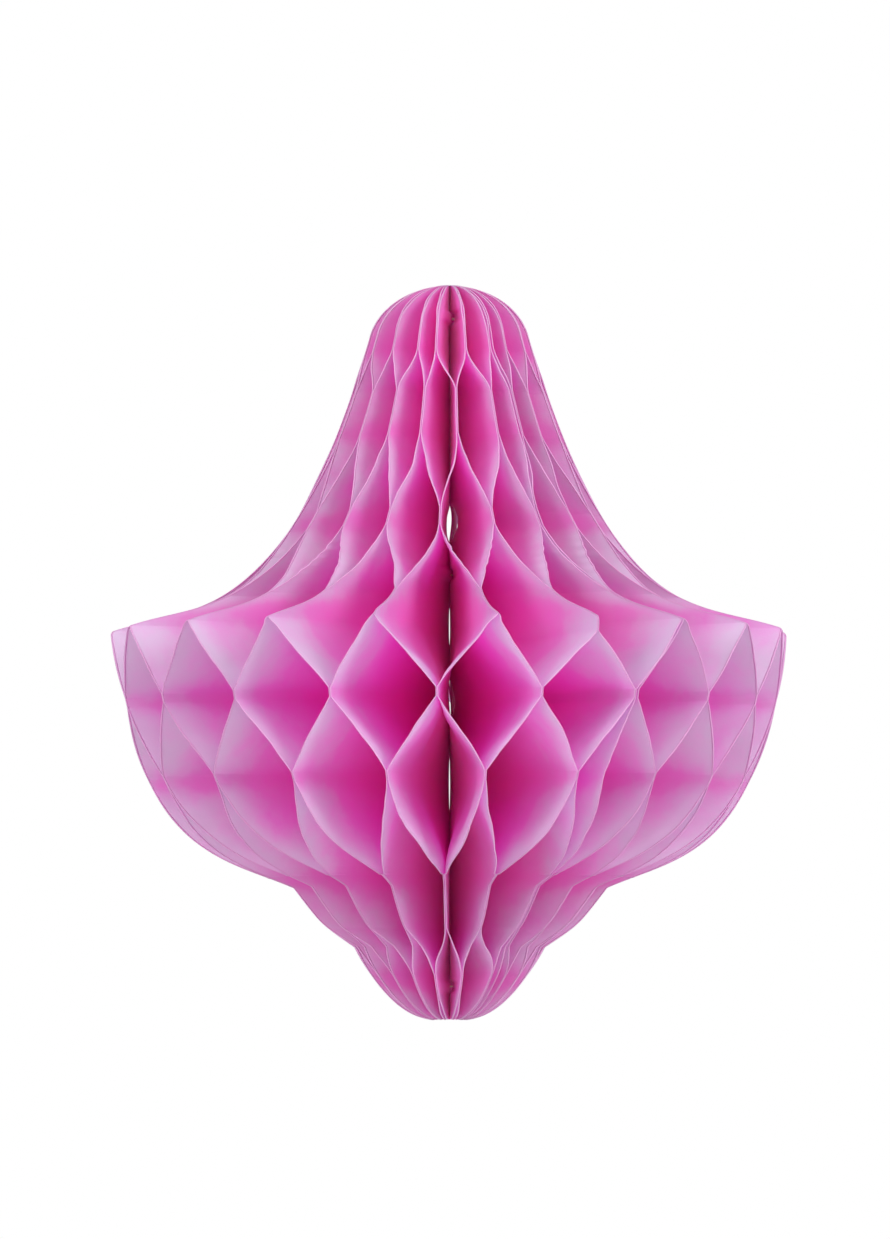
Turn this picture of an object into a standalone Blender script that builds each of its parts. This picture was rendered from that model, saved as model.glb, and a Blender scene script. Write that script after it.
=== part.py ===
"""Honeycomb paper bell: leaves of tissue paper opened like a fan all the way round a spine.

Metres, +Z up. The origin is the top of the spine, where the bell hangs. The front is -Y.
Depths are measured down from the origin, and angles go round from the front towards +X.
Each leaf is a flat cut sheet, glued to the next leaf along level rows. Odd rows join one
leaf to its left neighbour and even rows to its right neighbour, which opens the cells.
"""
import math

import bmesh
import bpy
from mathutils import Vector

MM = 0.001

# The paper
LEAF_COUNT = 39
LEAF_THICKNESS = 0.10 * MM
GLUED_GAP = 0.30 * MM
GLUED_OFFSET = (LEAF_THICKNESS + GLUED_GAP) / 2

# The bell's own size, and what a millimetre of its height or reach is at that size
BELL_HEIGHT = 200.0 * MM
LIP_RADIUS = 92.1 * MM
DOWN = BELL_HEIGHT / 200.0
OUT = LIP_RADIUS / 92.1

# The open channel left along the spine
CHANNEL_RADIUS = 2.5 * MM

# The cut outline of a leaf: each point is a radius and a depth
TOP_EDGE_RADIUS = 5.0 * OUT
BOTTOM_EDGE_RADIUS = 4.0 * OUT
DOME_RADIUS = 22.3 * OUT
DOME_HEIGHT = 18.2 * DOWN
DOME_END = (21.5 * OUT, 13.4 * DOWN)
LIP_DEPTH = 95.6 * DOWN
LIP_CORNER = 1.5 * MM
FLANK_PULLS = ((45.1 * OUT, 94.2 * DOWN), (68.1 * OUT, 86.5 * DOWN))
FLANK_END = (LIP_RADIUS - 0.4 * LIP_CORNER, LIP_DEPTH - 0.8 * LIP_CORNER)
SKIRT_PULLS = ((84.4 * OUT, 155.5 * DOWN), (62.6 * OUT, 155.8 * DOWN))
SKIRT_END = (42.9 * OUT, 164.3 * DOWN)
LOBE_PULLS = ((34.5 * OUT, 175.2 * DOWN), (35.4 * OUT, 174.1 * DOWN))
LOBE_END = (25.8 * OUT, 180.4 * DOWN)
CLAPPER_PULLS = ((24.2 * OUT, 183.2 * DOWN), (15.8 * OUT, 200.0 * DOWN))
CLAPPER_END = (BOTTOM_EDGE_RADIUS, BELL_HEIGHT)

# The glue rows: each pair is where two leaves come together and where they part again
GLUE_ROWS = (
    (-8.0 * DOWN, -5.6 * DOWN),
    (15.6 * DOWN, 18.8 * DOWN),
    (30.2 * DOWN, 42.4 * DOWN),
    (63.2 * DOWN, 67.8 * DOWN),
    (LIP_DEPTH - 9.6 * DOWN, FLANK_END[1]),
    (113.3 * DOWN, 115.7 * DOWN),
    (134.9 * DOWN, 137.3 * DOWN),
    (161.5 * DOWN, 175.5 * DOWN),
    (188.2 * DOWN, 194.0 * DOWN),
    (212.0 * DOWN, 214.4 * DOWN),
)
FIRST_ROW = 1
LIP_ROW = 4
CLAPPER_ROW = 7
LAST_ROW = 8

# How far the rows lean round from their place, in degrees, and how unevenly the bell is opened
ROW_LEAN = (-4.9, -4.9, -3.1, -0.2, 0.4, 0.0, -0.3, -0.4, 3.8, 3.8)
UNEVEN_OPENING = 5.4
UNEVEN_PHASE = 120.3
STRAIGHT_EDGE_RADIUS = 75.0 * OUT

# Depths between the rows where the outline or the fold needs a corner
TOP_STEPS = (0.8 * DOWN, 2.6 * DOWN, 5.8 * DOWN, 10.0 * DOWN)
FLAP_STEPS = (LIP_DEPTH - 7.1 * DOWN, LIP_DEPTH - 4.9 * DOWN, LIP_DEPTH - 2.9 * DOWN)
WAIST_STEPS = (SKIRT_END[1], 170.0 * DOWN)
BOTTOM_STEPS = (196.5 * DOWN, 198.6 * DOWN)
STEPS_BETWEEN_ROWS = 3

# The seam, where the first and last leaf are stuck together with tape down to the lip
SEAM_ANGLE = 35.5
SEAM_LOOSE_SIDES = {6: -1.75, 7: -1.0, 8: -0.9, 9: -0.9}
TAPE_THICKNESS = 0.10 * MM
TAPE_CLEARANCE = 0.30 * MM
SEAM_OFFSET = (LEAF_THICKNESS + TAPE_THICKNESS) / 2 + TAPE_CLEARANCE
TAPE_ROWS = {"top": 2, "middle": 3, "lip": 5}
TAPE_SPAN = (0.45, 0.92)

# The binding threads, tied round inside the channel
THREAD_RADIUS = 0.30 * MM
THREAD_CLEARANCE = 0.30 * MM
THREAD_RING_RADIUS = CHANNEL_RADIUS - THREAD_CLEARANCE - THREAD_RADIUS
THREAD_DEPTHS = {"top": 9.0 * DOWN, "middle": 79.0 * DOWN, "bottom": 191.0 * DOWN}
THREAD_STEPS_ROUND = 16
THREAD_STEPS_ACROSS = 6

# Materials
TISSUE_COLOUR = (0.72, 0.20, 0.52, 1.0)
THREAD_COLOUR = (0.80, 0.78, 0.76, 1.0)
TAPE_COLOUR = (0.82, 0.80, 0.78, 1.0)


def bezier_point(start, pulls, end, t):
    """A point on a curve from start to end, pulled towards two points."""
    near, far = pulls
    weights = ((1 - t) ** 3, 3 * (1 - t) ** 2 * t, 3 * (1 - t) * t * t, t ** 3)
    corners = (start, near, far, end)
    radius = sum(w * p[0] for w, p in zip(weights, corners))
    depth = sum(w * p[1] for w, p in zip(weights, corners))
    return radius, depth


def radius_on_curve(start, pulls, end, depth):
    """The curve's radius at a depth, found by halving."""
    low, high = 0.0, 1.0
    for _ in range(40):
        middle = (low + high) / 2
        if bezier_point(start, pulls, end, middle)[1] < depth:
            low = middle
        else:
            high = middle
    return bezier_point(start, pulls, end, (low + high) / 2)[0]


def outline_radius(depth):
    """How far a leaf reaches out at a depth."""
    if depth <= DOME_END[1]:
        rise = (DOME_HEIGHT - depth) / DOME_HEIGHT
        return max(TOP_EDGE_RADIUS, DOME_RADIUS * math.sqrt(max(0.0, 1 - rise * rise)))
    if depth <= FLANK_END[1]:
        return radius_on_curve(DOME_END, FLANK_PULLS, FLANK_END, depth)
    if depth <= LIP_DEPTH:
        drop = LIP_DEPTH - depth
        return LIP_RADIUS - LIP_CORNER + math.sqrt(LIP_CORNER ** 2 - drop * drop)
    if depth <= SKIRT_END[1]:
        return radius_on_curve((LIP_RADIUS, LIP_DEPTH), SKIRT_PULLS, SKIRT_END, depth)
    if depth <= LOBE_END[1]:
        return radius_on_curve(SKIRT_END, LOBE_PULLS, LOBE_END, depth)
    return radius_on_curve(LOBE_END, CLAPPER_PULLS, CLAPPER_END, depth)


def leaf_levels():
    """All levels where a leaf has a corner on its cut edge, each with True where the spine has one."""
    levels = [(0.0, True)]
    levels += [(depth, False) for depth in TOP_STEPS]
    extra = {LIP_ROW: FLAP_STEPS, CLAPPER_ROW: WAIST_STEPS}
    for row in range(FIRST_ROW, LAST_ROW + 1):
        start, end = GLUE_ROWS[row]
        levels.append((start, True))
        levels += [(depth, False) for depth in extra.get(row, ())]
        levels.append((end, True))
        if row == LIP_ROW:
            levels.append((LIP_DEPTH, False))
            end = LIP_DEPTH
        if row < LAST_ROW:
            gap = (GLUE_ROWS[row + 1][0] - end) / (STEPS_BETWEEN_ROWS + 1)
            levels += [(end + gap * (i + 1), False) for i in range(STEPS_BETWEEN_ROWS)]
    levels += [(depth, False) for depth in BOTTOM_STEPS]
    levels.append((BELL_HEIGHT, True))
    return levels


def row_side(leaf, row):
    """Which way a leaf leans at a row: 1 towards the next leaf, -1 towards the one before."""
    if leaf == LEAF_COUNT and row in SEAM_LOOSE_SIDES:
        return SEAM_LOOSE_SIDES[row]
    return 1.0 if (leaf + row) % 2 else -1.0


def rows_around(depth):
    """The rows above and below a depth, and how far it is from one to the other."""
    for row, (start, end) in enumerate(GLUE_ROWS):
        if start <= depth <= end:
            return row, row, 0.0
        if depth < start:
            above_end = GLUE_ROWS[row - 1][1]
            return row - 1, row, (depth - above_end) / (start - above_end)
    return LAST_ROW, LAST_ROW, 0.0


def leaf_angle(leaf, depth):
    """The angle of a leaf's cut edge at a depth, before its gap to the next leaf, and its side."""
    above, below, t = rows_around(depth)
    bend = max(0.0, 1 - outline_radius(depth) / STRAIGHT_EDGE_RADIUS)
    blend = t + bend * (t * t * (3 - 2 * t) - t)
    side = row_side(leaf, above) * (1 - blend) + row_side(leaf, below) * blend
    lean = ROW_LEAN[above] * (1 - t) + ROW_LEAN[below] * t
    pitch = 2 * math.pi / (LEAF_COUNT - 1)
    plain = math.radians(SEAM_ANGLE) + pitch * (leaf - 1 + side / 2)
    uneven = math.radians(UNEVEN_OPENING) * math.sin(plain + math.radians(UNEVEN_PHASE))
    return plain + uneven + math.radians(lean), side


def edge_offset(leaf, side):
    """How far a leaf's cut edge stands off the glue plane, so that glued leaves don't touch."""
    if leaf == 1:
        return SEAM_OFFSET - side * (GLUED_OFFSET + SEAM_OFFSET)
    if leaf == LEAF_COUNT:
        return -SEAM_OFFSET - max(side, -1.0) * (GLUED_OFFSET + SEAM_OFFSET)
    return -side * GLUED_OFFSET


def place(angle, radius, depth):
    """A point at an angle from the front, a radius and a depth."""
    return Vector((radius * math.sin(angle), -radius * math.cos(angle), -depth))


def spine_point(leaf, depth):
    """A leaf's inner edge: the leaves stand evenly round the channel."""
    pitch = 2 * math.pi / LEAF_COUNT
    plain = math.radians(SEAM_ANGLE) + pitch * (leaf - 0.5)
    uneven = math.radians(UNEVEN_OPENING) * math.sin(plain + math.radians(UNEVEN_PHASE))
    return place(plain + uneven, CHANNEL_RADIUS, depth)


def cut_point(leaf, depth, extra_offset=0.0):
    """A leaf's cut edge at a depth."""
    angle, side = leaf_angle(leaf, depth)
    radius = outline_radius(depth)
    offset = edge_offset(leaf, side) + extra_offset
    return place(angle + offset / radius, radius, depth)


def across(inner, outer):
    """The level direction square to a leaf, from its inner to its cut edge."""
    run = outer - inner
    return Vector((-run.y, run.x, 0.0)).normalized()


def add_solid(name, material, corners, faces):
    """Add a closed mesh as an object of its own."""
    mesh = bpy.data.meshes.new(name)
    mesh.from_pydata([tuple(corner) for corner in corners], [], faces)
    work = bmesh.new()
    work.from_mesh(mesh)
    bmesh.ops.recalc_face_normals(work, faces=work.faces)
    work.to_mesh(mesh)
    work.free()
    mesh.materials.append(material)
    obj = bpy.data.objects.new(name, mesh)
    bpy.context.scene.collection.objects.link(obj)
    return obj


def strip_faces(inner_levels, outer_levels, inner, outer):
    """Triangles between a leaf's inner edge, which has few corners, and its cut edge."""
    faces = []
    i = 0
    for j in range(len(outer_levels) - 1):
        faces_left = len(inner_levels) - 1 - i
        middle = (outer_levels[j] + outer_levels[j + 1]) / 2
        if faces_left and middle > (inner_levels[i] + inner_levels[i + 1]) / 2:
            faces.append((inner[i], inner[i + 1], outer[j]))
            i += 1
        faces.append((inner[i], outer[j + 1], outer[j]))
    while i < len(inner_levels) - 1:
        faces.append((inner[i], inner[i + 1], outer[-1]))
        i += 1
    return faces


def edge_faces(left, right):
    """Four-sided faces along one edge, from the left skin to the right skin."""
    return [(left[i], left[i + 1], right[i + 1], right[i]) for i in range(len(left) - 1)]


def sheet_solid(name, material, inner_points, outer_points, thickness):
    """A thin solid between an inner edge and an outer edge, each a list of points going down."""
    corners = []
    rings = []
    inner_side = [across(p, nearest_level(outer_points, p)) for p in inner_points]
    outer_side = [across(nearest_level(inner_points, p), p) for p in outer_points]
    for hand in (-0.5, 0.5):
        for points, sides in ((inner_points, inner_side), (outer_points, outer_side)):
            rings.append(list(range(len(corners), len(corners) + len(points))))
            corners += [p + s * (hand * thickness) for p, s in zip(points, sides)]
    inner_levels = [-p.z for p in inner_points]
    outer_levels = [-p.z for p in outer_points]
    in_left, out_left, in_right, out_right = rings
    faces = strip_faces(inner_levels, outer_levels, in_left, out_left)
    faces += strip_faces(inner_levels, outer_levels, in_right, out_right)
    faces += edge_faces(in_left, in_right)
    faces += edge_faces(out_left, out_right)
    faces.append((in_left[0], out_left[0], out_right[0], in_right[0]))
    faces.append((in_left[-1], out_left[-1], out_right[-1], in_right[-1]))
    return add_solid(name, material, corners, faces)


def nearest_level(points, wanted):
    """The point of a list whose height is nearest to another point's."""
    return min(points, key=lambda p: abs(p.z - wanted.z))


def add_leaf(leaf, material):
    """One leaf of the bell."""
    levels = leaf_levels()
    inner = [spine_point(leaf, depth) for depth, at_spine in levels if at_spine]
    outer = [cut_point(leaf, depth) for depth, at_spine in levels]
    return sheet_solid(f"leaf_{leaf:02d}", material, inner, outer, LEAF_THICKNESS)


def add_seam_tape(place_name, row, material):
    """A strip of tape between the last leaf and the first, along one glue row."""
    inner, outer = [], []
    for depth in GLUE_ROWS[row]:
        first = (spine_point(1, depth), cut_point(1, depth))
        last = (spine_point(LEAF_COUNT, depth), cut_point(LEAF_COUNT, depth))
        start = (first[0] + last[0]) / 2
        end = (first[1] + last[1]) / 2
        inner.append(start.lerp(end, TAPE_SPAN[0]))
        outer.append(start.lerp(end, TAPE_SPAN[1]))
    return sheet_solid(f"seam_tape_{place_name}", material, inner, outer, TAPE_THICKNESS)


def add_binding_thread(place_name, depth, material):
    """A ring of thread inside the channel that holds the leaves' inner edges together."""
    corners, faces = [], []
    for i in range(THREAD_STEPS_ROUND):
        round_angle = 2 * math.pi * i / THREAD_STEPS_ROUND
        for j in range(THREAD_STEPS_ACROSS):
            across_angle = 2 * math.pi * j / THREAD_STEPS_ACROSS
            radius = THREAD_RING_RADIUS + THREAD_RADIUS * math.cos(across_angle)
            corners.append(place(round_angle, radius, depth + THREAD_RADIUS * math.sin(across_angle)))
    for i in range(THREAD_STEPS_ROUND):
        for j in range(THREAD_STEPS_ACROSS):
            here, ahead = i * THREAD_STEPS_ACROSS, (i + 1) % THREAD_STEPS_ROUND * THREAD_STEPS_ACROSS
            up = (j + 1) % THREAD_STEPS_ACROSS
            faces.append((here + j, ahead + j, ahead + up, here + up))
    return add_solid(f"binding_thread_{place_name}", material, corners, faces)


def plain_material(name, colour, roughness):
    """A plain material."""
    material = bpy.data.materials.new(name)
    material.use_nodes = True
    shader = material.node_tree.nodes["Principled BSDF"]
    shader.inputs["Base Color"].default_value = colour
    shader.inputs["Roughness"].default_value = roughness
    material.diffuse_color = colour
    return material


def main():
    """Build every piece of the bell."""
    for obj in list(bpy.data.objects):
        bpy.data.objects.remove(obj, do_unlink=True)
    for leaf in range(1, LEAF_COUNT + 1):
        add_leaf(leaf, plain_material(f"tissue_{leaf:02d}", TISSUE_COLOUR, 0.8))
    for place_name, row in TAPE_ROWS.items():
        add_seam_tape(place_name, row, plain_material(f"tape_{place_name}", TAPE_COLOUR, 0.5))
    for place_name, depth in THREAD_DEPTHS.items():
        add_binding_thread(place_name, depth, plain_material(f"thread_{place_name}", THREAD_COLOUR, 0.8))


main()
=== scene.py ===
"""Honeycomb paper bell: tissue leaves glued in rows and opened like a fan round a spine.

Metres, in the frame's own axes: +Z up, the front is -Y, and the origin is the top of the spine.
Depths are measured down from the origin, and angles go round from the front towards +X.
"""
from __future__ import annotations

import logging
import math
from dataclasses import dataclass, field
from enum import Enum

import bpy
import numpy as np
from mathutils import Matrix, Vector


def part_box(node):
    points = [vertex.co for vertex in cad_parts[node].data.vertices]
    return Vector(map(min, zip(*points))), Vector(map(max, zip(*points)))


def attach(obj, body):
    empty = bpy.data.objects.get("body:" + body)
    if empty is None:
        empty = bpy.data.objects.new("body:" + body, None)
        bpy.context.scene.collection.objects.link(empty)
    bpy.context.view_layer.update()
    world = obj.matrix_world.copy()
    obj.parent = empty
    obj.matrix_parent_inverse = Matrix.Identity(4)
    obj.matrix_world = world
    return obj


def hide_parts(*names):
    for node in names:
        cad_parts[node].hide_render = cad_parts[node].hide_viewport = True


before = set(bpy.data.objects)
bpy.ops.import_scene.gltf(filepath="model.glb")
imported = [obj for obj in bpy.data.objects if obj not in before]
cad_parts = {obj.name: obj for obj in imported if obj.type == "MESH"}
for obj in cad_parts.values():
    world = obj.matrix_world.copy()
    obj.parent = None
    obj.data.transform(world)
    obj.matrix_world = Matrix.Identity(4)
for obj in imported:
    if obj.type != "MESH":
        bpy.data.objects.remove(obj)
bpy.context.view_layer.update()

LOG = logging.getLogger("paper_bell")
MM = 0.001
WHITE = (1.0, 1.0, 1.0, 1.0)
THREAD_NODE = "binding_thread_"

# The photograph's frame, in pixels
PHOTO_WIDTH = 890
PHOTO_HEIGHT = 1239
BELL_TOP_PX = 285.0
BELL_BOTTOM_PX = 1019.0
BELL_AXIS_PX = 449.5


def linear(hex_colour: str) -> tuple[float, float, float, float]:
    """Turn an sRGB hex colour to linear light.

    Args:
        hex_colour: Six digits, with a leading hash.

    Returns:
        Red, green, blue and an alpha of one.
    """
    parts = [int(hex_colour[i:i + 2], 16) / 255 for i in (1, 3, 5)]
    light = [c / 12.92 if c <= 0.04045 else ((c + 0.055) / 1.055) ** 2.4 for c in parts]
    return light[0], light[1], light[2], 1.0


def add_node(tree: bpy.types.NodeTree, kind: str, inputs: dict | None = None, **settings) -> bpy.types.Node:
    """Add a node with its settings, and set or link its inputs.

    Args:
        tree: The node tree to add to.
        kind: The node's type name.
        inputs: Input name or number to a value, or to an output socket to link from.
        settings: Attributes of the node.

    Returns:
        The new node.
    """
    node = tree.nodes.new(kind)
    for name, value in settings.items():
        setattr(node, name, value)
    for name, value in (inputs or {}).items():
        if isinstance(value, bpy.types.NodeSocket):
            tree.links.new(value, node.inputs[name])
        else:
            node.inputs[name].default_value = value
    return node


class Measure(Enum):
    """What each leaf's mesh tells its material, point by point."""

    CUT_EDGE = "cut_edge_mm"
    # How far into the cell a point is, for the painted light and shade.
    INSIDE = "share_inside"
    # How near a glue row, for its painted crease shade and doubled paper.
    GLUE_SHADE = "glue"


@dataclass(frozen=True)
class CutOutline:
    """The half outline that every leaf is cut to, as a radius for each depth.

    Pairs of numbers are a radius and a depth. Those of the lip's corner are shares of its size, in from the
    lip's radius and up from its depth.
    """

    height: float = 200.0 * MM
    top_edge: float = 0.6 * MM
    dome_radius: float = 22.3 * MM
    dome_height: float = 18.2 * MM
    dome_end: tuple[float, float] = (21.5 * MM, 13.4 * MM)
    flank_pulls: tuple = ((45.1 * MM, 94.2 * MM), (68.1 * MM, 86.5 * MM))
    lip_radius: float = 92.1 * MM
    lip_depth: float = 95.6 * MM
    lip_corner: float = 1.5 * MM
    corner_start: tuple[float, float] = (0.4, 0.8)
    corner_pulls: tuple[float, float] = (0.1, 0.4)
    corner_drop: float = 0.3 * MM
    skirt_pulls: tuple = ((84.4 * MM, 155.5 * MM), (62.6 * MM, 155.8 * MM))
    skirt_end: tuple[float, float] = (42.9 * MM, 164.3 * MM)
    lobe_pulls: tuple = ((34.5 * MM, 175.2 * MM), (35.4 * MM, 174.1 * MM))
    lobe_end: tuple[float, float] = (25.8 * MM, 180.4 * MM)
    clapper_pulls: tuple = ((24.2 * MM, 183.2 * MM), (15.8 * MM, 200.0 * MM))
    bottom_edge: float = 4.0 * MM
    dome_points: int = 60
    long_points: int = 90
    corner_points: int = 12
    lobe_points: int = 30
    clapper_points: int = 60

    @staticmethod
    def curve(start: tuple, pulls: tuple, end: tuple, count: int) -> np.ndarray:
        """Points on a curve that leaves start towards one pull and reaches end from the other.

        Args:
            start: Radius and depth where it starts.
            pulls: The two points that it is pulled towards.
            end: Radius and depth where it ends.
            count: How many points.

        Returns:
            The points, each a radius and a depth.
        """
        t = np.linspace(0.0, 1.0, count)[:, None]
        corners = [np.array(p) for p in (start, *pulls, end)]
        weights = ((1 - t) ** 3, 3 * (1 - t) ** 2 * t, 3 * (1 - t) * t * t, t ** 3)
        return sum(w * p for w, p in zip(weights, corners))

    def points(self) -> np.ndarray:
        """All of the outline from top to bottom, each point a radius and a depth."""
        turn = np.linspace(0.0, math.pi / 2, self.dome_points)
        dome = np.stack([self.dome_radius * np.sin(turn), self.dome_height * (1 - np.cos(turn))], axis=1)
        dome = dome[(dome[:, 0] > self.top_edge) & (dome[:, 1] < self.dome_end[1])]
        start = np.array([[self.top_edge, 0.0]])
        lip = (self.lip_radius, self.lip_depth)
        flank_end = (self.lip_radius - self.corner_start[0] * self.lip_corner,
                     self.lip_depth - self.corner_start[1] * self.lip_corner)
        flank = self.curve(self.dome_end, self.flank_pulls, flank_end, self.long_points)
        first_pull = (self.lip_radius - self.corner_pulls[0] * self.lip_corner,
                      flank_end[1] + self.corner_drop)
        second_pull = (self.lip_radius, self.lip_depth - self.corner_pulls[1] * self.lip_corner)
        corner = self.curve(flank_end, (first_pull, second_pull), lip, self.corner_points)
        skirt = self.curve(lip, self.skirt_pulls, self.skirt_end, self.long_points)
        lobe = self.curve(self.skirt_end, self.lobe_pulls, self.lobe_end, self.lobe_points)
        bottom = (self.bottom_edge, self.height)
        clapper = self.curve(self.lobe_end, self.clapper_pulls, bottom, self.clapper_points)
        return np.concatenate([start, dome, flank, corner[1:], skirt[1:], lobe[1:], clapper[1:]])

    def radius(self, depth: np.ndarray) -> np.ndarray:
        """How far a leaf reaches out at each depth."""
        line = self.points()
        return np.interp(depth, line[:, 1], line[:, 0])


@dataclass(frozen=True)
class GlueRows:
    """The level rows of glue, from above the bell to below it.

    The starts and ends are where two leaves come together and part again, and the lines where the glue is.
    These are depths in mm. The leans are in degrees.
    """

    starts: tuple[float, ...] = (-8.0, 15.6, 30.2, 63.2, 86.0, 113.3, 134.9, 161.5, 188.2, 212.0)
    ends: tuple[float, ...] = (-5.6, 18.8, 42.4, 67.8, 94.4, 115.7, 137.3, 175.5, 194.0, 214.4)
    lines: tuple[float, ...] = (-6.8, 17.4, 41.4, 66.0, 91.3, 114.5, 136.1, 162.7, 189.4, 213.2)
    leans: tuple[float, ...] = (-4.9, -4.9, -3.1, -0.2, 0.4, 0.0, -0.3, -0.4, 3.8, 3.8)
    # Width of the painted crease shade by each glue row.
    crease_shade_width: float = 6.5 * MM

    def around(self, depth: np.ndarray) -> tuple[np.ndarray, np.ndarray, np.ndarray]:
        """The rows above and below each depth.

        Args:
            depth: Depths in metres.

        Returns:
            The row above, the row below, and the share of the way from one to the other.
        """
        starts, ends = np.array(self.starts) * MM, np.array(self.ends) * MM
        below = np.clip(np.searchsorted(ends, depth), 1, len(ends) - 1)
        inside = depth >= starts[below]
        above = np.where(inside, below, below - 1)
        share = (depth - ends[below - 1]) / (starts[below] - ends[below - 1])
        return above, below, np.where(inside, 0.0, share)

    def glue(self, depth: np.ndarray) -> np.ndarray:
        """How much each glue row darkens the paper at each depth, from 0 to 1: painted shade of the crease
        there, and the doubled paper of the glue.
        """
        away = np.min(np.abs(depth[:, None] - np.array(self.lines)[None, :] * MM), axis=1)
        return np.exp(-(2 * away / self.crease_shade_width) ** 2)


@dataclass(frozen=True)
class SpineSlit:
    """A place where the leaves' inner edges have come apart, so that light shows through the bell.

    All are in mm. The slit's width keeps near its middle as it is more blunt, with 0 for a plain rectangle.
    """

    top: float
    bottom: float
    drawn_back: float
    parted: float = 0.0
    slant: float = 0.0
    blunt: float = 0.6

    def opening(self, depth: np.ndarray) -> tuple[np.ndarray, np.ndarray]:
        """How open the slit is at each depth, from 0 to 1, and the share of the way down it."""
        down = (depth / MM - self.top) / (self.bottom - self.top)
        return np.clip(4 * down * (1 - down), 0.0, 1.0) ** self.blunt, down


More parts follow.
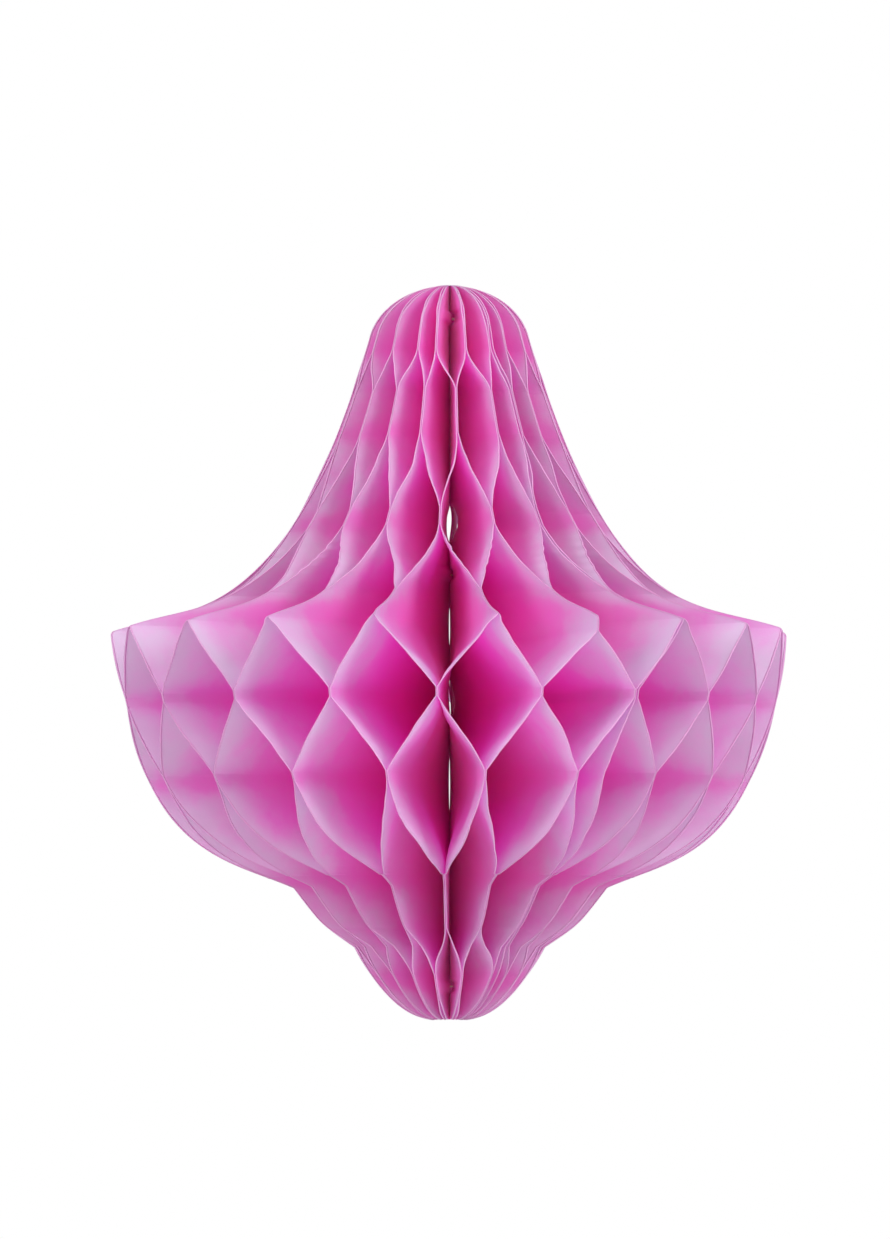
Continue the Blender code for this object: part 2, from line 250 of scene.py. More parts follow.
@dataclass(frozen=True)
class TissuePaper:
    """Dyed tissue paper, calendered and left matt, painted pale lilac by the cut edge and strong magenta
    inside.

    Hardly any red is lost in it, so light goes from leaf to leaf and the cells glow red deep inside. The
    colour is painted light and shade: lighter lilac as far as light reaches into a cell, deeper magenta where
    shade falls further in, and the rims also let less light through. The cut edge is fluffy. Each stop is a
    share of the way from the cut edge to the spine, and the painted colour there.
    """

    # Painted light and shade: lit lilac by the cut edge, shaded magenta deep in the cells.
    face_stops: tuple = ((0.0, "#EADAF4"), (0.12, "#EFCCF2"), (0.27, "#F6ACF0"), (0.55, "#FC84EE"))
    through_stops: tuple = ((0.0, "#F4B4E8"), (0.12, "#F896E2"), (0.27, "#FC58DB"), (0.55, "#FE18D7"))
    fluff: str = "#F6BEEC"
    fluff_mm: float = 0.8
    fluff_share: float = 0.9
    light_through: float = 0.45
    light_through_rim: float = 0.26
    rim_share: float = 0.24
    roughness: float = 0.62
    fibre_mm: float = 0.5
    crinkle_mm: float = 9.0
    crinkle_share: float = 0.6
    cloud_mm: float = 17.0
    cloud_range: tuple[float, float] = (0.3, 0.7)
    cloud_tones: tuple[float, float] = (0.95, 1.03)
    patchy_shade_shift: float = 0.48
    # Painted shade of the creases by the glue rows, partly the doubled paper there.
    crease_shade: float = 0.16
    relief: float = 0.18
    relief_mm: float = 0.15
    specular: float = 0.35
    sheen: float = 0.5
    sheen_roughness: float = 0.5
    sheen_tint: str = "#E0E4FF"

    def painted_colour_ramp(self, tree: bpy.types.NodeTree, inside: bpy.types.NodeSocket,
            stops: tuple) -> bpy.types.NodeSocket:
        """The painted colour by the way in from the cut edge: lit lilac at the rim, shaded magenta deeper in.

        Args:
            tree: The node tree to add to.
            inside: The share of the way from the cut edge to the spine.
            stops: Such shares and their colours.

        Returns:
            The colour's socket.
        """
        ramp = add_node(tree, "ShaderNodeValToRGB", {"Fac": inside})
        ramp.color_ramp.interpolation = "B_SPLINE"
        for i, (place, colour) in enumerate(stops):
            marks = ramp.color_ramp.elements
            mark = marks[i] if i < 2 else marks.new(place)
            mark.position = place
            mark.color = linear(colour)
        return ramp.outputs["Color"]

    def build(self) -> bpy.types.Material:
        """Make the paper's material.

        Returns:
            The material, which reads the leaf's own measures and its place on the flat sheet.
        """
        material = bpy.data.materials.new("pink_tissue_paper")
        material.use_nodes = True
        tree = material.node_tree
        tree.nodes.clear()
        sheet = add_node(tree, "ShaderNodeUVMap", uv_map="sheet").outputs[0]
        edge = add_node(tree, "ShaderNodeAttribute", attribute_name=Measure.CUT_EDGE.value).outputs["Fac"]
        inside = add_node(tree, "ShaderNodeAttribute", attribute_name=Measure.INSIDE.value).outputs["Fac"]
        glue = add_node(tree, "ShaderNodeAttribute", attribute_name=Measure.GLUE_SHADE.value).outputs["Fac"]
        cloud = add_node(tree, "ShaderNodeTexNoise", {"Vector": sheet, "Scale": 1 / (self.cloud_mm * MM),
                                                      "Detail": 4.0, "Roughness": 0.6})
        fibre = add_node(tree, "ShaderNodeTexNoise", {"Vector": sheet, "Scale": 1 / (self.fibre_mm * MM),
                                                      "Detail": 2.0})
        crinkle = add_node(tree, "ShaderNodeTexVoronoi",
                           {"Vector": sheet, "Scale": 1 / (self.crinkle_mm * MM)}, feature="DISTANCE_TO_EDGE")
        # Random patches move the painted rim light further in or out.
        patches = add_node(tree, "ShaderNodeMath", {0: cloud.outputs["Fac"], 1: self.patchy_shade_shift,
                                                    2: -self.patchy_shade_shift / 2},
                           operation="MULTIPLY_ADD").outputs[0]
        # Painted shade: the ramp darkens deeper in the cell and by each glue row's crease.
        painted_shade_share = add_node(tree, "ShaderNodeMath", {0: glue, 1: self.crease_shade, 2: inside},
                        operation="MULTIPLY_ADD").outputs[0]
        painted_shade_amount = add_node(tree, "ShaderNodeMath", {0: painted_shade_share, 1: patches}, operation="ADD").outputs[0]
        near_cut = add_node(tree, "ShaderNodeMapRange", {"Value": edge, "From Max": self.fluff_mm,
                                                         "To Min": self.fluff_share,
                                                         "To Max": 0.0}).outputs[0]
        cloudy = add_node(tree, "ShaderNodeMapRange",
                          {"Value": cloud.outputs["Fac"], "From Min": self.cloud_range[0],
                           "From Max": self.cloud_range[1], "To Min": self.cloud_tones[0],
                           "To Max": self.cloud_tones[1]}).outputs[0]
        face = add_node(tree, "ShaderNodeMix", {0: near_cut, 6: self.painted_colour_ramp(tree, painted_shade_amount, self.face_stops),
                                                7: linear(self.fluff)}, data_type="RGBA").outputs[2]
        face = add_node(tree, "ShaderNodeHueSaturation", {"Value": cloudy, "Color": face}).outputs[0]
        through = add_node(tree, "ShaderNodeMix", {0: near_cut, 6: self.painted_colour_ramp(tree, painted_shade_amount, self.through_stops),
                                                   7: linear(self.fluff)}, data_type="RGBA").outputs[2]
        relief = add_node(tree, "ShaderNodeMath",
                          {0: crinkle.outputs["Distance"], 1: self.crinkle_share,
                           2: fibre.outputs["Fac"]},
                          operation="MULTIPLY_ADD").outputs[0]
        bump = add_node(tree, "ShaderNodeBump", {"Height": relief, "Strength": self.relief,
                                                 "Distance": self.relief_mm * MM})
        paper = add_node(tree, "ShaderNodeBsdfPrincipled",
                         {"Base Color": face, "Roughness": self.roughness, "Normal": bump.outputs[0],
                          "Sheen Weight": self.sheen, "Sheen Roughness": self.sheen_roughness,
                          "Specular IOR Level": self.specular, "Sheen Tint": linear(self.sheen_tint)})
        behind = add_node(tree, "ShaderNodeBsdfTranslucent", {"Color": through, "Normal": bump.outputs[0]})
        passed = add_node(tree, "ShaderNodeMapRange", {"Value": painted_shade_amount, "From Max": self.rim_share,
                                                       "To Min": self.light_through_rim,
                                                       "To Max": self.light_through}).outputs[0]
        both = add_node(tree, "ShaderNodeMixShader", {0: passed, 1: paper.outputs[0], 2: behind.outputs[0]})
        add_node(tree, "ShaderNodeOutputMaterial", {"Surface": both.outputs[0]})
        return material


@dataclass(frozen=True)
class CottonThread:
    """Spun cotton thread, undyed: soft, matt and slightly hairy, so it has a broad faint sheen."""

    colour: str = "#E9E4DC"
    ply_mm: float = 0.35
    hairs_a_ply: int = 4
    tones: tuple[float, float] = (0.85, 1.05)
    relief: float = 0.4
    relief_mm: float = 0.05
    roughness: float = 0.85
    sheen: float = 0.3

    def build(self) -> bpy.types.Material:
        """Make the thread's material."""
        material = bpy.data.materials.new("cotton_thread")
        material.use_nodes = True
        tree = material.node_tree
        shader = tree.nodes["Principled BSDF"]
        place = add_node(tree, "ShaderNodeTexCoord").outputs["Object"]
        hairs = add_node(tree, "ShaderNodeTexNoise",
                         {"Vector": place, "Scale": self.hairs_a_ply / (self.ply_mm * MM), "Detail": 3.0})
        tone = add_node(tree, "ShaderNodeMapRange",
                        {"Value": hairs.outputs["Fac"], "To Min": self.tones[0],
                         "To Max": self.tones[1]}).outputs[0]
        colour = add_node(tree, "ShaderNodeHueSaturation", {"Value": tone, "Color": linear(self.colour)})
        bump = add_node(tree, "ShaderNodeBump", {"Height": hairs.outputs["Fac"], "Strength": self.relief,
                                                 "Distance": self.relief_mm * MM})
        tree.links.new(colour.outputs[0], shader.inputs["Base Color"])
        tree.links.new(bump.outputs[0], shader.inputs["Normal"])
        shader.inputs["Roughness"].default_value = self.roughness
        shader.inputs["Sheen Weight"].default_value = self.sheen
        return material


@dataclass(frozen=True)
class PaperTape:
    """Double-sided tape on a paper carrier: off-white, with a faint gloss from its glue."""

    colour: str = "#EDE8E2"
    mottle_mm: float = 1.5
    tones: tuple[float, float] = (0.92, 1.02)
    roughness: float = 0.42

    def build(self) -> bpy.types.Material:
        """Make the tape's material."""
        material = bpy.data.materials.new("double_sided_paper_tape")
        material.use_nodes = True
        tree = material.node_tree
        shader = tree.nodes["Principled BSDF"]
        place = add_node(tree, "ShaderNodeTexCoord").outputs["Object"]
        mottle = add_node(tree, "ShaderNodeTexNoise", {"Vector": place, "Scale": 1 / (self.mottle_mm * MM)})
        tone = add_node(tree, "ShaderNodeMapRange",
                        {"Value": mottle.outputs["Fac"], "To Min": self.tones[0],
                         "To Max": self.tones[1]}).outputs[0]
        colour = add_node(tree, "ShaderNodeHueSaturation", {"Value": tone, "Color": linear(self.colour)})
        tree.links.new(colour.outputs[0], shader.inputs["Base Color"])
        shader.inputs["Roughness"].default_value = self.roughness
        return material


@dataclass
class TissueLeaves:
    """All the leaves: each is one sheet, bent at its glue rows, with a fluffy cut edge.

    Nudges turn a glued pair from its even place, in degrees, by its row and its first leaf. Lip curls are in
    degrees too, by the pair's first leaf. A higher power keeps what it shapes closer to the rim.
    """

    outline: CutOutline = field(default_factory=CutOutline)
    rows: GlueRows = field(default_factory=GlueRows)
    paper: TissuePaper = field(default_factory=TissuePaper)
    count: int = 39
    seam_angle: float = 35.5
    uneven_opening: float = 5.4
    uneven_phase: float = 120.3
    straight_edge_radius: float = 75.0 * MM
    least_bend: float = 0.05
    straight_power: int = 10
    top_pairs_hold: float = 0.85
    overhang_row: int = 6
    overhang_hold: float = 0.65
    glued_offset: float = 0.2 * MM
    seam_offset: float = 0.4 * MM
    offset_from: float = 12 * MM
    seam_loose_sides: dict = field(default_factory=lambda: {6: -1.75, 7: -1.0, 8: -0.9, 9: -0.9})
    nudges: dict = field(default_factory=lambda: {(1, 30): 3.0, (1, 32): 4.0, (1, 34): -2.0, (1, 2): -4.0,
                                                  (2, 29): 2.0, (2, 31): 1.5, (2, 37): 3.0, (2, 3): -4.0,
                                                  (3, 32): -1.5, (3, 34): -1.0, (4, 31): -1.2, (4, 33): -1.9,
                                                  (7, 34): 0.8, (7, 36): -0.9, (8, 31): -1.3, (8, 33): -3.0,
                                                  (8, 35): -1.5, (8, 37): 4.0})
    parts_late: dict = field(default_factory=lambda: {(4, 37): 0.22})
    lip_curls: dict = field(default_factory=lambda: {31: -0.5, 33: 0.3, 35: 0.7, 37: -0.1})
    lip_curl_depth: float = 94.4 * MM
    lip_curl_half: float = 1.5 * MM
    lip_curl_power: int = 12
    levels_down: int = 520
    least_level: float = 0.02 * MM
    steps_out: int = 15
    spine_steps_power: float = 0.85
    rim_steps_power: float = 1.3
    spine_radius: float = -0.06 * MM
    spine_reach: float = 0.7
    ring_clearance: float = 2.6 * MM
    ring_depths: tuple[float, ...] = (9.0 * MM, 79.0 * MM, 191.0 * MM)
    ring_near: float = 1.0 * MM
    ring_hides: float = 0.75 * MM
    slits: tuple[SpineSlit, ...] = (SpineSlit(60.0, 70.0, 6.0, 0.8, 0.9), SpineSlit(88.0, 98.0, 1.2),
                                    SpineSlit(107.5, 118.0, 4.0, 0.35, -0.8), SpineSlit(129.0, 143.0, 1.3))
    slit_torn: float = 0.15
    slit_torn_length: float = 1.3 * MM
    slit_leaf_turn: float = 2.4
    pressed_width: float = 3 * MM
    parted_width: float = 0.3 * MM
    # Painted shade: the dome's cells keep more of it, and the clapper's shallow cells get less.
    dome_shade_kept: float = 0.20
    dome_shade_kept_to: float = 70.0 * MM
    clapper_shade_drop: float = 0.5
    clapper_shade_drop_from: float = 160.0 * MM
    clapper_shade_drop_over: float = 10 * MM
    clapper_shade_kept: float = 0.08
    edge_half: float = 0.13 * MM
    edge_fluff: float = 0.08 * MM
    edge_waves: tuple = ((47 * MM, 0.16 * MM), (23 * MM, 0.08 * MM), (5.5 * MM, 0.05 * MM))
    edge_wave_power: int = 4
    ragged: float = 0.28 * MM
    ragged_from: float = 66.0 * MM
    ragged_to: float = 84.0 * MM
    ragged_waves: tuple = ((2.3 * MM, 1.0, 0.0), (3.7 * MM, 0.7, 1.0))
    ragged_power: int = 20
    dent: float = 0.30 * MM
    dent_lengths: tuple[float, ...] = (41 * MM, 29 * MM, 21 * MM, 15 * MM, 12 * MM)
    creased_below: float = 25 * MM
    dents_from: float = 30 * MM
    sheet_shift: float = 0.3
    seed: int = 7

    def levels(self) -> np.ndarray:
        """The depths of a leaf's mesh: even along the cut edge, and exact at every row's corners."""
        line = self.outline.points()
        run = np.concatenate([[0.0], np.cumsum(np.hypot(*np.diff(line, axis=0).T))])
        even = np.interp(np.linspace(0.0, run[-1], self.levels_down), run, line[:, 1])
        corners = np.array(self.rows.starts + self.rows.ends) * MM
        corners = corners[(corners > 0.0) & (corners < self.outline.height)]
        levels = np.sort(np.concatenate([even, corners]))
        keep = np.concatenate([[True], np.diff(levels) > self.least_level])
        return levels[keep]

    def sides(self, leaf: int) -> np.ndarray:
        """Which way a leaf leans at each row: 1 towards the next leaf, -1 towards the one before."""
        rows = np.arange(len(self.rows.starts))
        sides = np.where((leaf + rows) % 2, 1.0, -1.0)
        if leaf == self.count:
            for row, side in self.seam_loose_sides.items():
                sides[row] = side
        return sides

    def opened(self, plain: np.ndarray) -> np.ndarray:
        """Angles after the bell is opened a little unevenly by hand."""
        return plain + math.radians(self.uneven_opening) * np.sin(plain + math.radians(self.uneven_phase))

    def swing(self, leaf: int, depth: np.ndarray, out: np.ndarray) -> tuple[np.ndarray, ...]:
        """How far the sheet has swung from the row above to the row below.

        The paper bends softly inside and is nearly straight at a wide cut edge. Where it reaches out past the
        end of the row below, it still hangs from the row above. Above the first row the pairs stay together.

        Args:
            leaf: The leaf's number, because some pairs part late below a row.
            depth: Depths in metres.
            out: Shares of the way from the spine to the cut edge.

        Returns:
            The row above, the row below, the plain share of the way between them by depth, and the swing by
            depth and step out.
        """
        above, below, t = self.rows.around(depth)
        for (row, first), late in self.parts_late.items():
            if leaf in (first, first + 1):
                t = np.where(above == row, np.clip((t - late) / (1 - late), 0.0, 1.0), t)
        reach = self.outline.radius(depth)
        bend = np.clip(1 - reach / self.straight_edge_radius, self.least_bend, 1.0)[:, None]
        soft = bend + (1 - bend) * (1 - out[None, :] ** self.straight_power)
        plain = t[:, None]
        swung = plain + soft * (plain * plain * (3 - 2 * plain) - plain)
        hold_rows = [self.rows.lines[self.overhang_row + 1] * MM, self.rows.lines[self.overhang_row] * MM]
        hold_from, hold_to = self.outline.radius(np.array(hold_rows))
        past = np.clip((reach[:, None] * out[None, :] - hold_from) / (hold_to - hold_from), 0.0, 1.0)
        past = past * (above == self.overhang_row)[:, None]
        swung = np.where((above == 0)[:, None], 1 - (1 - swung) * (1 - self.top_pairs_hold), swung)
        return above, below, t, swung * (1 - self.overhang_hold * past)

    def edge_offset(self, leaf: int, side: np.ndarray) -> np.ndarray:
        """How far a leaf stands off the plane of its glue, so that glued leaves don't touch."""
        if leaf == 1:
            return self.seam_offset - side * (self.glued_offset + self.seam_offset)
        if leaf == self.count:
            return -self.seam_offset - np.maximum(side, -1.0) * (self.glued_offset + self.seam_offset)
        return -side * self.glued_offset

    def waves(self, leaf: int, free: np.ndarray, depth: np.ndarray, radius: np.ndarray,
              out: np.ndarray) -> np.ndarray:
        """How far the paper waves off its true surface: soft dents inside, and a wavy cut edge.

        Long dents are round swells, and short ones meet in creases. The cut edge is ragged on the flank only.

        Args:
            leaf: The leaf's number, which settles its own waves.
            free: How free the paper is at each depth, 0 where it is glued.
            depth: Depths in metres.
            radius: Radii by depth and step out.
            out: Shares of the way out.

        Returns:
            The distances off the surface by depth and step out.
        """
        rng = np.random.default_rng(self.seed + leaf)
        edge = np.zeros_like(depth)
        for length, height in self.edge_waves:
            edge += height * rng.uniform(0.5, 1.0) * np.sin(2 * np.pi * depth / length + rng.uniform(0, 6.28))
        frayed = np.clip((depth - self.ragged_from) / (self.ragged_to - self.ragged_from), 0.0, 1.0)
        torn = np.sin(np.pi * frayed)
        wobble = sum(height * np.sin(2 * np.pi * depth / length + start)
                     for length, height, start in self.ragged_waves)
        fray = self.ragged * rng.uniform(0.0, 1.0) ** 3 * torn * wobble
        dents = np.zeros_like(radius)
        for length in self.dent_lengths:
            turn, start = rng.uniform(0, 6.28, 2)
            run = radius * np.cos(turn) + depth[:, None] * np.sin(turn)
            swell = np.sin(2 * np.pi * run / length + start)
            creased = (2 * np.abs(np.sin(np.pi * run / length + start)) - 1) * length / self.creased_below
            dents += self.dent * rng.uniform(0.6, 1.0) * (creased if length < self.creased_below else swell)
        held = np.clip(radius / self.dents_from, 0.0, 1.0)
        at_edge = edge[:, None] * out[None, :] ** self.edge_wave_power
        at_edge = at_edge + fray[:, None] * out[None, :] ** self.ragged_power
        return free[:, None] * (at_edge + dents * held)

    def spine_profile(self, leaf: int, depth: np.ndarray) -> np.ndarray:
        """The radius of a leaf's inner edge: clear of the thread rings, and drawn back at the slits."""
        radius = np.full_like(depth, self.spine_radius)
        for ring in self.ring_depths:
            near = self.by_ring(depth, ring)
            radius = np.maximum(radius, self.spine_radius + (self.ring_clearance - self.spine_radius) * near)
        for slit in self.slits:
            torn = self.slit_torn * math.sin(leaf * self.slit_leaf_turn)
            torn = 1 + torn * np.sin(depth / self.slit_torn_length + leaf)
            drawn_back = slit.drawn_back * MM - self.spine_radius
            radius = np.maximum(radius, self.spine_radius + drawn_back * slit.opening(depth)[0] * torn)
        return radius

    def by_ring(self, depth: np.ndarray, ring: float) -> np.ndarray:
        """How close each depth is to a thread ring, 1 where it is near and 0 from twice as far away."""
        return np.clip(2.0 - np.abs(depth - ring) / self.ring_near, 0.0, 1.0)

    def part_at_slits(self, x: np.ndarray, front: np.ndarray, depth: np.ndarray,
                      out: np.ndarray) -> np.ndarray:
        """Press the paper aside by the slits, where it stands close to the plane through front and back.

        By the thread rings it is pressed the other way, so that no light shows through there.

        Args:
            x: Places from left to right, by depth and step out.
            front: 1 in front of the spine and -1 behind it.
            depth: Depths in metres.
            out: Shares of the way out.

        Returns:
            The places after that.
        """
        for ring in self.ring_depths:
            near = self.by_ring(depth, ring)[:, None] * (1 - out[None, :] ** 2)
            near = near * np.exp(-(x / self.pressed_width) ** 2)
            x = x + near * front * self.ring_hides
        for slit in self.slits:
            opening, down = slit.opening(depth)
            near = opening[:, None] * (1 - out[None, :] ** 4) * np.exp(-(x / self.pressed_width) ** 2)
            aside = slit.parted * np.tanh(x / self.parted_width) + slit.slant * (0.5 - down)[:, None]
            x = x + near * aside * MM
        return x

    def sheet(self, leaf: int) -> tuple[np.ndarray, np.ndarray, np.ndarray, np.ndarray]:
        """The points of one leaf's sheet.

        Args:
            leaf: The leaf's number, from 1.

        Returns:
            The points by depth and step out, the depths, the share of the way out, and how free it is.
        """
        depth = self.levels()
        even = np.linspace(0.0, 1.0, self.steps_out)
        out = (even ** self.spine_steps_power + 1 - (1 - even) ** self.rim_steps_power) / 2
        above, below, t, swung = self.swing(leaf, depth, out)
        sides = self.sides(leaf)
        side = sides[above][:, None] * (1 - swung) + sides[below][:, None] * swung
        leans = np.radians(np.array(self.rows.leans))
        lean = leans[above] * (1 - t) + leans[below] * t
        pitch = 2 * math.pi / (self.count - 1)
        angle = self.opened(math.radians(self.seam_angle) + pitch * (leaf - 1 + side / 2))
        nudge = np.radians([self.nudges.get((row, leaf), self.nudges.get((row, leaf - 1), 0.0))
                            for row in range(len(self.rows.starts))])
        angle = angle + nudge[above][:, None] * (1 - swung) + nudge[below][:, None] * swung
        curl = math.radians(self.lip_curls.get(leaf, self.lip_curls.get(leaf - 1, 0.0)))
        curl = curl * np.exp(-((depth - self.lip_curl_depth) / self.lip_curl_half) ** 2)
        angle = angle + lean[:, None] * np.sqrt(out)[None, :]
        angle = angle + curl[:, None] * out[None, :] ** self.lip_curl_power
        reach = self.outline.radius(depth)
        inner = np.minimum(self.spine_profile(leaf, depth), reach * self.spine_reach)
        radius = inner[:, None] + (reach - inner)[:, None] * out[None, :]
        free = np.abs(np.sin(np.pi * t))
        off = self.edge_offset(leaf, side) * np.clip(radius / self.offset_from, 0.0, 1.0)
        off = off + self.waves(leaf, free, depth, radius, out)
        x = radius * np.sin(angle) + off * np.cos(angle)
        x = self.part_at_slits(x, np.sign(np.cos(angle)), depth, out)
        y = -radius * np.cos(angle) + off * np.sin(angle)
        z = np.broadcast_to(-depth[:, None], x.shape)
        return np.stack([x, y, z], axis=-1), depth, out, free

    def build(self) -> list[bpy.types.Object]:
        """Build every leaf, dress it and let it stand for its CAD node."""
        material = self.paper.build()
        return [self.build_leaf(leaf, material) for leaf in range(1, self.count + 1)]

    def share_inside(self, depth: np.ndarray, share: np.ndarray) -> np.ndarray:
        """How far inside a point counts for the painted shade, which stays strong at the dome and is less at
        the clapper.

        Args:
            depth: Depths in metres.
            share: Shares of the way out.

        Returns:
            The shares of the way in from the cut edge, by depth and step out.
        """
        kept = self.dome_shade_kept * np.clip(1 - depth / self.dome_shade_kept_to, 0.0, 1.0)
        low = np.clip((depth - self.clapper_shade_drop_from) / self.clapper_shade_drop_over, 0.0, 1.0)
        kept = kept + self.clapper_shade_kept * low
        painted_shade_amount = 1 - self.clapper_shade_drop * low
        return kept[:, None] + painted_shade_amount[:, None] * (1 - share)[None, :]

    def build_leaf(self, leaf: int, material: bpy.types.Material) -> bpy.types.Object:
        """Build one leaf.

        Args:
            leaf: The leaf's number, from 1.
            material: The tissue paper.

        Returns:
            The leaf's object.
        """
        points, depth, share, free = self.sheet(leaf)
        down, out = points.shape[:2]
        grid = np.arange(down * out).reshape(down, out)
        faces = np.stack([grid[:-1, :-1], grid[1:, :-1], grid[1:, 1:], grid[:-1, 1:]], axis=-1).reshape(-1, 4)
        reach = self.outline.radius(depth)
        bead, bead_faces = self.cut_bead(points, free, down * out)
        sides_round = len(bead) // down
        on_bead = np.zeros(len(bead))
        verts = np.concatenate([points.reshape(-1, 3), bead])
        faces = np.concatenate([faces, bead_faces])
        from_cut = np.concatenate([(reach[:, None] * (1 - share)[None, :]).reshape(-1), on_bead])
        # Painted light and shade: how deep in the cell each point lies.
        inside = np.concatenate([self.share_inside(depth, share).reshape(-1), on_bead])
        # Painted crease shade by the glue rows, with the doubled paper there.
        glue = np.concatenate([np.repeat(self.rows.glue(depth), out), on_bead])
        from_spine = (reach[:, None] * share[None, :]).reshape(-1)
        from_spine = np.concatenate([from_spine, np.repeat(reach, sides_round)])
        deep = np.concatenate([np.repeat(depth, out), np.repeat(depth, sides_round)])
        mesh = bpy.data.meshes.new(f"tissue_leaf_{leaf:02d}")
        mesh.from_pydata(verts.tolist(), [], faces.tolist())
        measured = {Measure.CUT_EDGE: from_cut / MM, Measure.INSIDE: inside, Measure.GLUE_SHADE: glue}
        for measure, values in measured.items():
            mesh.attributes.new(measure.value, "FLOAT", "POINT").data.foreach_set("value", values)
        corner_points = np.empty(len(mesh.loops), dtype=np.int32)
        mesh.loops.foreach_get("vertex_index", corner_points)
        flat = np.stack([from_spine + leaf * self.sheet_shift, deep], axis=1)[corner_points]
        mesh.uv_layers.new(name="sheet").data.foreach_set("uv", flat.reshape(-1))
        mesh.polygons.foreach_set("use_smooth", np.ones(len(mesh.polygons), dtype=bool))
        mesh.materials.append(material)
        obj = bpy.data.objects.new(f"tissue_leaf_{leaf:02d}", mesh)
        bpy.context.scene.collection.objects.link(obj)
        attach(obj, "root")
        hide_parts(f"leaf_{leaf:02d}")
        return obj

    def cut_bead(self, points: np.ndarray, free: np.ndarray, first: int) -> tuple[np.ndarray, np.ndarray]:
        """The fluffy cut edge, a fine four-sided rib that runs down the rim of the sheet.

        Fluff is finer than the picture can show, so the rib is drawn a quarter of a millimetre wide and more.

        Args:
            points: The sheet's points by depth and step out.
            free: How free the paper is at each depth, 0 where it is glued.
            first: The number of the rib's first point.

        Returns:
            The rib's points and faces.
        """
        rim = points[:, -1, :]
        outward = rim - points[:, -2, :]
        outward[:, 2] = 0.0
        outward /= np.linalg.norm(outward, axis=1, keepdims=True)
        along = np.gradient(rim, axis=0)
        along /= np.linalg.norm(along, axis=1, keepdims=True)
        across = np.cross(along, outward)
        across /= np.linalg.norm(across, axis=1, keepdims=True)
        half = (self.edge_half + self.edge_fluff * free)[:, None]
        ring = [rim + outward * half, rim + across * half, rim - outward * half * 2, rim - across * half]
        bead = np.stack(ring, axis=1).reshape(-1, 3)
        grid = first + np.arange(len(bead)).reshape(len(rim), 4)
        ahead = np.roll(grid, -1, axis=1)
        sides = np.stack([grid[:-1], grid[1:], ahead[1:], ahead[:-1]], axis=-1).reshape(-1, 4)
        ends = np.array([grid[0][::-1], grid[-1]])
        return bead, np.concatenate([sides, ends])


@dataclass
class SeamTape:
    """The strips of tape that hold the first and last leaf together."""

    tape: PaperTape = field(default_factory=PaperTape)
    strips: tuple[str, ...] = ("top", "middle", "lip")

    def build(self) -> int:
        """Dress the strips, and return how many there are."""
        material = self.tape.build()
        for strip in self.strips:
            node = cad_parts[f"seam_tape_{strip}"]
            node.material_slots[0].material = material
        return len(self.strips)


@dataclass
class BindingThread:
    """The rings of thread that hold the leaves' inner edges together at the channel's ends."""

    cotton: CottonThread = field(default_factory=CottonThread)
    rings: tuple[str, ...] = tuple(n[len(THREAD_NODE):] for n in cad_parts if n.startswith(THREAD_NODE))
    plies: int = 3
    twists: int = 14
    steps_round: int = 140
    steps_across: int = 10
    ply_share: float = 0.5

    def build(self) -> list[bpy.types.Object]:
        """Build each ring as twisted plies in place of its CAD node."""
        material = self.cotton.build()
        return [self.build_ring(ring, material) for ring in self.rings]

    def build_ring(self, ring: str, material: bpy.types.Material) -> bpy.types.Object:
        """Build one ring of plies twisted together.

        Args:
            ring: Where the ring is, as its node's name says.
            material: The thread.

        Returns:
            The ring's object.
        """
        low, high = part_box(f"{THREAD_NODE}{ring}")
        thick = (high[2] - low[2]) / 2
        centre_radius = (high[0] - low[0]) / 2 - thick
        height = (high[2] + low[2]) / 2
        ply_radius = thick * self.ply_share
        turn = np.linspace(0, 2 * np.pi, self.steps_round, endpoint=False)
        verts, faces = [], []
        for ply in range(self.plies):
            twist = self.twists * turn + 2 * np.pi * ply / self.plies
            radius = centre_radius + (thick - ply_radius) * np.cos(twist)
            level = height + (thick - ply_radius) * np.sin(twist)
            first = len(verts)
            for i, angle in enumerate(turn):
                for j in range(self.steps_across):
                    around = 2 * np.pi * j / self.steps_across
                    r = radius[i] + ply_radius * np.cos(around)
                    up = level[i] + ply_radius * np.sin(around)
                    verts.append((r * np.sin(angle), -r * np.cos(angle), up))
            for i in range(self.steps_round):
                here = first + i * self.steps_across
                ahead = first + (i + 1) % self.steps_round * self.steps_across
                for j in range(self.steps_across):
                    up = (j + 1) % self.steps_across
                    faces.append((here + j, ahead + j, ahead + up, here + up))
        mesh = bpy.data.meshes.new(f"thread_ring_{ring}")
        mesh.from_pydata(verts, [], faces)
        mesh.polygons.foreach_set("use_smooth", np.ones(len(mesh.polygons), dtype=bool))
        mesh.materials.append(material)
        obj = bpy.data.objects.new(f"thread_ring_{ring}", mesh)
        bpy.context.scene.collection.objects.link(obj)
        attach(obj, "root")
        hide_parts(f"{THREAD_NODE}{ring}")
        return obj


@dataclass(frozen=True)
class Softbox:
    """A square lamp that faces the bell: its name, place, width in metres, and power."""

    name: str
    place: tuple[float, float, float]
    size: float
    watts: float


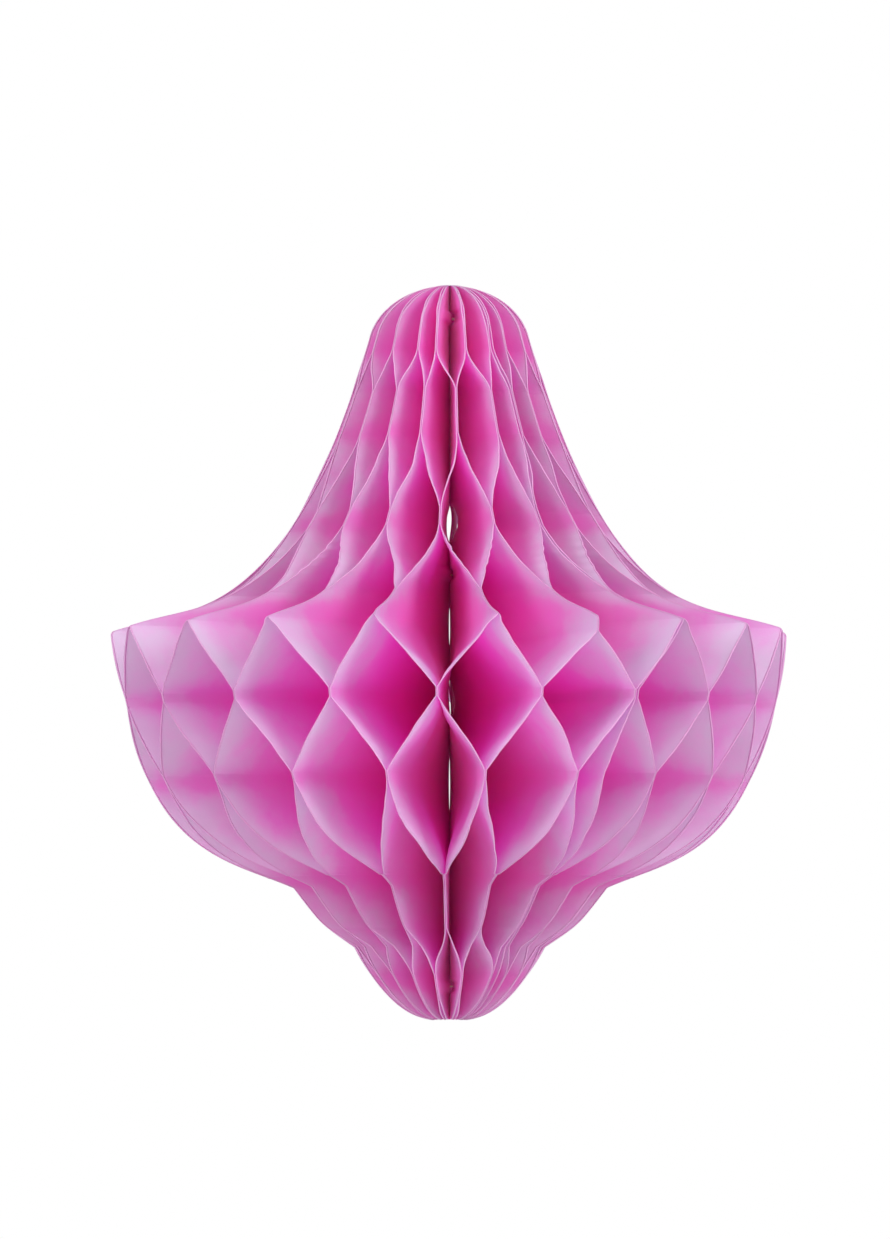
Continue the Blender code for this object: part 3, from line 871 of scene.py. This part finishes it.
@dataclass
class Studio:
    """The white studio: floor, world, lamps and the camera at the photograph's angle."""

    bell_height: float = 200.0 * MM
    camera_distance: float = 2.2
    camera_elevation: float = -3.0
    sensor: float = 36.0
    nearest_seen: float = 0.05
    floor_level: float = -0.32
    floor_size: float = 3.2
    floor_colour: str = "#F7F7F7"
    floor_roughness: float = 0.9
    floor_whitened: float = 0.65
    surround: float = 0.40
    surround_colour: str = "#FFFFFF"
    light_steps: int = 20
    softboxes: tuple[Softbox, ...] = (Softbox("left_softbox", (-1.25, -1.20, 0.55), 0.9, 11.0),
                                      Softbox("right_softbox", (1.25, -1.20, 0.55), 0.9, 15.5),
                                      Softbox("top_softbox", (0.0, -0.9, 1.35), 1.0, 7.0))

    def build(self) -> None:
        """Set up everything round the bell."""
        self.build_world()
        self.build_floor()
        for softbox in self.softboxes:
            self.build_lamp(softbox)
        self.build_camera()
        bpy.context.scene.view_settings.view_transform = "Standard"
        self.let_light_travel()

    def let_light_travel(self) -> None:
        """Let light pass from leaf to leaf as often as it does in thin paper, which glows deep inside."""
        cycles = bpy.context.scene.cycles
        cycles.max_bounces = self.light_steps
        cycles.diffuse_bounces = self.light_steps
        cycles.transmission_bounces = self.light_steps

    def build_world(self) -> None:
        """A pale surround that lights the bell from all sides, and shows as pure white.

        The camera and glossy surfaces see the white. There is no glass here, and tissue passes its light on
        as transmitted rays, so white on those would be more light on the bell: they get the plain surround.
        """
        world = bpy.data.worlds.new("white_surround")
        bpy.context.scene.world = world
        world.use_nodes = True
        tree = world.node_tree
        tree.nodes.clear()
        light = add_node(tree, "ShaderNodeBackground", {"Color": linear(self.surround_colour),
                                                        "Strength": self.surround})
        seen = add_node(tree, "ShaderNodeBackground", {"Color": WHITE, "Strength": 1.0})
        path = add_node(tree, "ShaderNodeLightPath")
        white = add_node(tree, "ShaderNodeMath", {0: path.outputs["Is Camera Ray"],
                                                  1: path.outputs["Is Glossy Ray"]}, operation="MAXIMUM")
        both = add_node(tree, "ShaderNodeMixShader", {0: white.outputs[0], 1: light.outputs[0],
                                                      2: seen.outputs[0]})
        add_node(tree, "ShaderNodeOutputWorld", {"Surface": both.outputs[0]})

    def build_floor(self) -> None:
        """A plain pale floor below the hanging bell, which the camera sees a little whiter than it is lit."""
        half = self.floor_size / 2
        mesh = bpy.data.meshes.new("studio_floor")
        corners = [(-half, -half, self.floor_level), (half, -half, self.floor_level),
                   (half, half, self.floor_level), (-half, half, self.floor_level)]
        mesh.from_pydata(corners, [], [(0, 1, 2, 3)])
        material = bpy.data.materials.new("pale_studio_floor")
        material.use_nodes = True
        tree = material.node_tree
        tree.nodes.clear()
        lit = add_node(tree, "ShaderNodeBsdfPrincipled", {"Base Color": linear(self.floor_colour),
                                                          "Roughness": self.floor_roughness})
        white = add_node(tree, "ShaderNodeEmission", {"Color": WHITE, "Strength": 1.0})
        path = add_node(tree, "ShaderNodeLightPath")
        share = add_node(tree, "ShaderNodeMath", {0: path.outputs["Is Camera Ray"], 1: self.floor_whitened},
                         operation="MULTIPLY").outputs[0]
        both = add_node(tree, "ShaderNodeMixShader", {0: share, 1: lit.outputs[0], 2: white.outputs[0]})
        add_node(tree, "ShaderNodeOutputMaterial", {"Surface": both.outputs[0]})
        mesh.materials.append(material)
        floor = bpy.data.objects.new("studio_floor", mesh)
        bpy.context.scene.collection.objects.link(floor)

    def build_lamp(self, softbox: Softbox) -> None:
        """Add a softbox, and turn it to the middle of the bell."""
        data = bpy.data.lights.new(softbox.name, "AREA")
        data.size = softbox.size
        data.energy = softbox.watts
        lamp = bpy.data.objects.new(softbox.name, data)
        bpy.context.scene.collection.objects.link(lamp)
        place = Vector(softbox.place)
        lamp.location = place
        middle = Vector((0.0, 0.0, -self.bell_height / 2))
        lamp.rotation_euler = (middle - place).to_track_quat("-Z", "Y").to_euler()

    def build_camera(self) -> None:
        """Place the camera so that the bell fills the same pixels as in the photograph."""
        metres_per_pixel = self.bell_height / (BELL_BOTTOM_PX - BELL_TOP_PX)
        middle_px = (BELL_TOP_PX + BELL_BOTTOM_PX) / 2
        aim_x = (PHOTO_WIDTH / 2 - BELL_AXIS_PX) * metres_per_pixel
        aim_z = -self.bell_height / 2 + (middle_px - PHOTO_HEIGHT / 2) * metres_per_pixel
        data = bpy.data.cameras.new("studio_camera")
        data.sensor_fit = "VERTICAL"
        data.sensor_height = self.sensor
        data.lens = self.sensor * self.camera_distance / (PHOTO_HEIGHT * metres_per_pixel)
        data.clip_start = self.nearest_seen
        camera = bpy.data.objects.new("studio_camera", data)
        bpy.context.scene.collection.objects.link(camera)
        tilt = math.radians(self.camera_elevation)
        away = Vector((0.0, -math.cos(tilt), math.sin(tilt))) * self.camera_distance
        camera.location = Vector((aim_x, 0.0, aim_z)) + away
        camera.rotation_euler = (-away).to_track_quat("-Z", "Y").to_euler()
        bpy.context.scene.camera = camera


def main() -> None:
    """Build the bell in order, then the studio round it."""
    logging.basicConfig(level=logging.INFO)
    leaves = TissueLeaves().build()
    LOG.info("tissue leaves: %d, %d faces each", len(leaves), len(leaves[0].data.polygons))
    LOG.info("seam tape strips: %d", SeamTape().build())
    LOG.info("thread rings: %d", len(BindingThread().build()))
    Studio().build()
    LOG.info("studio ready")


if __name__ == "__main__":
    main()
